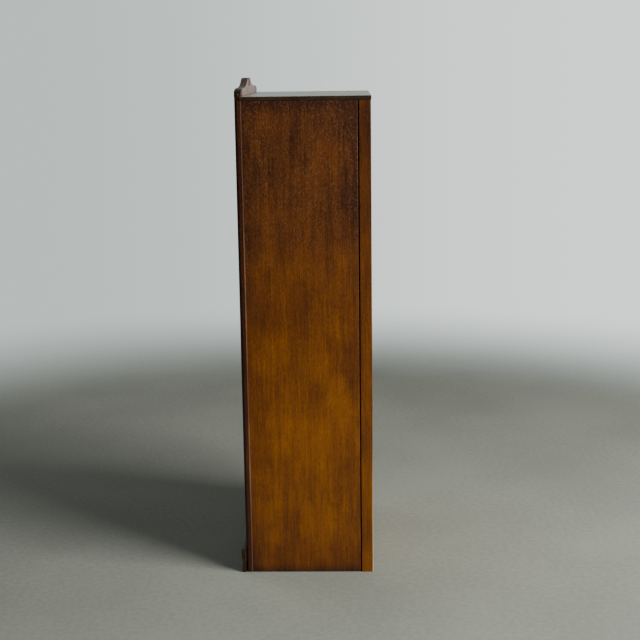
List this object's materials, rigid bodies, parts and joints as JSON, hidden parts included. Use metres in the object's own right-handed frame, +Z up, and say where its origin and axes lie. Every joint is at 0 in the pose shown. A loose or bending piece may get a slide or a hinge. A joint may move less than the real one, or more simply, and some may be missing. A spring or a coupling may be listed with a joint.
{
  "type": "barrister bookcase",
  "caption": "Tall glazed bookcase in dark stained oak with up-and-over doors that slide back above each shelf, a carved crest and bracket feet.",
  "frame": {"origin": "on the floor, at the middle of the width and of the depth", "axes": "+Z up, +Y towards the back, so the doors face -Y, and +X to the right as seen from the front"},
  "size_m": [0.604, 0.4024, 1.4813],
  "materials": {
    "side_veneer": "satin lacquer over mahogany-stained oak veneer",
    "stained_oak": "satin lacquer over dark stain",
    "polished_top": "rubbed gloss lacquer",
    "carved_oak": "dark stained carving, waxed",
    "shelf_wood": "sealed",
    "back_plywood": "bare outside",
    "window_glass": "clear",
    "brass": "aged, lacquered",
    "steel": "drawn rod"
  },
  "bodies": {
    "case": {"right_side_panel": "side_veneer", "left_side_panel": "side_veneer", "right_rear_stile": "stained_oak", "left_rear_stile": "stained_oak", "right_front_stile": "stained_oak", "left_front_stile": "stained_oak", "right_front_foot": "carved_oak", "left_front_foot": "carved_oak", "top_board": "polished_top", "crest": "carved_oak", "base_moulding": "carved_oak", "bottom_board": "shelf_wood", "back_panel": "back_plywood", "bottom_rail": "stained_oak", "top_rail": "stained_oak", "shelf_1": "shelf_wood", "middle_rail_1": "stained_oak", "shelf_2": "shelf_wood", "middle_rail_2": "stained_oak", "shelf_3": "shelf_wood", "middle_rail_3": "stained_oak"},
    "runner_1": {"door_1_pivot_rod": "steel"},
    "door_1": {"door_1_right_stile": "stained_oak", "door_1_left_stile": "stained_oak", "door_1_top_rail": "stained_oak", "door_1_bottom_rail": "stained_oak", "door_1_glass": "window_glass", "door_1_glazing_bead": "stained_oak", "door_1_right_knob": "brass", "door_1_left_knob": "brass"},
    "runner_2": {"door_2_pivot_rod": "steel"},
    "door_2": {"door_2_right_stile": "stained_oak", "door_2_left_stile": "stained_oak", "door_2_top_rail": "stained_oak", "door_2_bottom_rail": "stained_oak", "door_2_glass": "window_glass", "door_2_glazing_bead": "stained_oak", "door_2_right_knob": "brass", "door_2_left_knob": "brass"},
    "runner_3": {"door_3_pivot_rod": "steel"},
    "door_3": {"door_3_right_stile": "stained_oak", "door_3_left_stile": "stained_oak", "door_3_top_rail": "stained_oak", "door_3_bottom_rail": "stained_oak", "door_3_glass": "window_glass", "door_3_glazing_bead": "stained_oak", "door_3_right_knob": "brass", "door_3_left_knob": "brass"},
    "runner_4": {"door_4_pivot_rod": "steel"},
    "door_4": {"door_4_right_stile": "stained_oak", "door_4_left_stile": "stained_oak", "door_4_top_rail": "stained_oak", "door_4_bottom_rail": "stained_oak", "door_4_glass": "window_glass", "door_4_glazing_bead": "stained_oak", "door_4_right_knob": "brass", "door_4_left_knob": "brass"}
  },
  "joints": [
    {"name": "door_1_slide", "type": "slide", "parent": "case", "child": "runner_1", "axis": [0, 1, 0], "range_m": [0, 0.247]},
    {"name": "door_1_tilt", "type": "hinge", "parent": "runner_1", "child": "door_1", "pos_m": [0, -0.16635, 0.3865], "axis": [-1, 0, 0], "range_deg": [0, 90]},
    {"name": "door_2_slide", "type": "slide", "parent": "case", "child": "runner_2", "axis": [0, 1, 0], "range_m": [0, 0.247]},
    {"name": "door_2_tilt", "type": "hinge", "parent": "runner_2", "child": "door_2", "pos_m": [0, -0.16635, 0.719], "axis": [-1, 0, 0], "range_deg": [0, 90]},
    {"name": "door_3_slide", "type": "slide", "parent": "case", "child": "runner_3", "axis": [0, 1, 0], "range_m": [0, 0.247]},
    {"name": "door_3_tilt", "type": "hinge", "parent": "runner_3", "child": "door_3", "pos_m": [0, -0.16635, 1.0515], "axis": [-1, 0, 0], "range_deg": [0, 90]},
    {"name": "door_4_slide", "type": "slide", "parent": "case", "child": "runner_4", "axis": [0, 1, 0], "range_m": [0, 0.247]},
    {"name": "door_4_tilt", "type": "hinge", "parent": "runner_4", "child": "door_4", "pos_m": [0, -0.16635, 1.384], "axis": [-1, 0, 0], "range_deg": [0, 90]}
  ],
  "couplings": [
    {"joint": "door_1_slide", "follows": "door_1_tilt", "m_per_rad": 0.15724},
    {"joint": "door_2_slide", "follows": "door_2_tilt", "m_per_rad": 0.15724},
    {"joint": "door_3_slide", "follows": "door_3_tilt", "m_per_rad": 0.15724},
    {"joint": "door_4_slide", "follows": "door_4_tilt", "m_per_rad": 0.15724}
  ]
}
